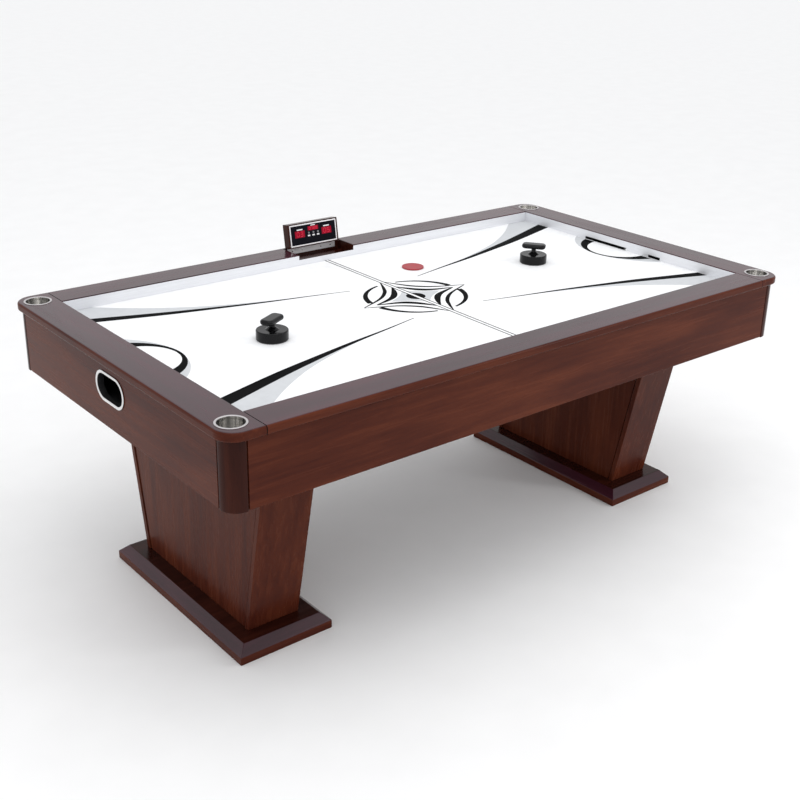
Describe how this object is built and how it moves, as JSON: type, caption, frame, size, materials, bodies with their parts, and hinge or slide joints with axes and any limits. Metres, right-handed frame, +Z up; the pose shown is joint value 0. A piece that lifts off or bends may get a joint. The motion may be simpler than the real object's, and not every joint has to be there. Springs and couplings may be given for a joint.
{
  "type": "air hockey table",
  "caption": "Full-size air hockey table with glossy wood rails and cabinet on tapered pedestals, goal slots, cup holders, a flip-up scorer, a puck and strikers.",
  "frame": {"origin": "on the floor, below the middle of the table", "axes": "+X along the table's length, +Y across it towards the side that carries the scorer, +Z up"},
  "size_m": [2.134, 1.211, 0.908],
  "materials": {
    "wood": "high gloss lacquer",
    "dark_wood": "gloss lacquer",
    "playfield_laminate": "polished",
    "aluminium": "satin",
    "steel": "brushed",
    "chrome": "polished",
    "black_plastic": "moulded",
    "black_gloss": "gloss",
    "mallet_plastic": "satin",
    "felt": "felt",
    "red_display": "lit window",
    "red_plastic": "gloss",
    "grey_plastic": "moulded"
  },
  "bodies": {
    "table": {"end_rail_left": "wood", "end_apron_left": "wood", "cross_beam_left": "dark_wood", "goal_box_left": "black_plastic", "port_ring_left": "chrome", "rebound_wall_left": "aluminium", "corner_post_left_front": "dark_wood", "cup_holder_left_front": "steel", "pedestal_left_side_front": "wood", "corner_post_left_rear": "dark_wood", "cup_holder_left_rear": "steel", "pedestal_left_side_rear": "wood", "pedestal_left_outer_panel": "wood", "pedestal_left_inner_panel": "wood", "pedestal_left_plinth": "wood", "end_rail_right": "wood", "end_apron_right": "wood", "cross_beam_right": "dark_wood", "goal_box_right": "black_plastic", "port_ring_right": "chrome", "rebound_wall_right": "aluminium", "corner_post_right_front": "dark_wood", "cup_holder_right_front": "steel", "pedestal_right_side_front": "wood", "corner_post_right_rear": "dark_wood", "cup_holder_right_rear": "steel", "pedestal_right_side_rear": "wood", "pedestal_right_outer_panel": "wood", "pedestal_right_inner_panel": "wood", "pedestal_right_plinth": "wood", "side_rail_front": "wood", "side_apron_front": "wood", "rebound_wall_front": "aluminium", "side_rail_rear": "wood", "side_apron_rear": "wood", "rebound_wall_rear": "aluminium", "playfield": "playfield_laminate", "air_chamber": "dark_wood", "blower_housing": "black_plastic", "blower_motor": "steel", "scorer_well": "dark_wood", "scorer_hinge_fixed": "steel", "power_panel": "black_plastic"},
    "scorer": {"scorer_case": "dark_wood", "scorer_bezel": "chrome", "scorer_lens": "black_gloss", "scorer_display_left": "red_display", "scorer_display_right": "red_display", "scorer_display_timer": "red_display", "scorer_hinge_moving": "steel"},
    "start_button": {"scorer_button_start": "grey_plastic"},
    "mode_button": {"scorer_button_mode": "grey_plastic"},
    "volume_button": {"scorer_button_volume": "grey_plastic"},
    "blower_rotor": {"blower_impeller": "grey_plastic"},
    "switch_rocker": {"power_rocker": "red_plastic"},
    "loose_puck": {"puck": "red_plastic"},
    "striker_left": {"mallet_left": "mallet_plastic", "mallet_felt_left": "felt"},
    "striker_right": {"mallet_right": "mallet_plastic", "mallet_felt_right": "felt"}
  },
  "joints": [
    {"name": "scorer_fold", "type": "hinge", "parent": "table", "child": "scorer", "pos_m": [0, 0.5895, 0.82], "axis": [1, 0, 0], "range_deg": [0, 99.5]},
    {"name": "start_press", "type": "slide", "parent": "scorer", "child": "start_button", "axis": [0, 0.9863, -0.165], "range_m": [0, 0.001], "stiffness_N_per_m": 400},
    {"name": "mode_press", "type": "slide", "parent": "scorer", "child": "mode_button", "axis": [0, 0.9863, -0.165], "range_m": [0, 0.001], "stiffness_N_per_m": 400},
    {"name": "volume_press", "type": "slide", "parent": "scorer", "child": "volume_button", "axis": [0, 0.9863, -0.165], "range_m": [0, 0.001], "stiffness_N_per_m": 400},
    {"name": "blower_spin", "type": "hinge", "parent": "table", "child": "blower_rotor", "pos_m": [0, 0, 0.675], "axis": [0, 0, 1], "continuous": true},
    {"name": "switch_rock", "type": "hinge", "parent": "table", "child": "switch_rocker", "pos_m": [0.284, 0.5602, 0.619], "axis": [1, 0, 0], "range_deg": [0, 20]},
    {"name": "puck_glide", "type": "slide", "parent": "table", "child": "loose_puck", "axis": [0, 1, 0], "range_m": [-0.72, 0.197]},
    {"name": "striker_left_slide", "type": "slide", "parent": "table", "child": "striker_left", "axis": [1, 0, 0], "range_m": [-0.325, 0.52]},
    {"name": "striker_right_slide", "type": "slide", "parent": "table", "child": "striker_right", "axis": [1, 0, 0], "range_m": [-0.295, 0.33]}
  ]
}
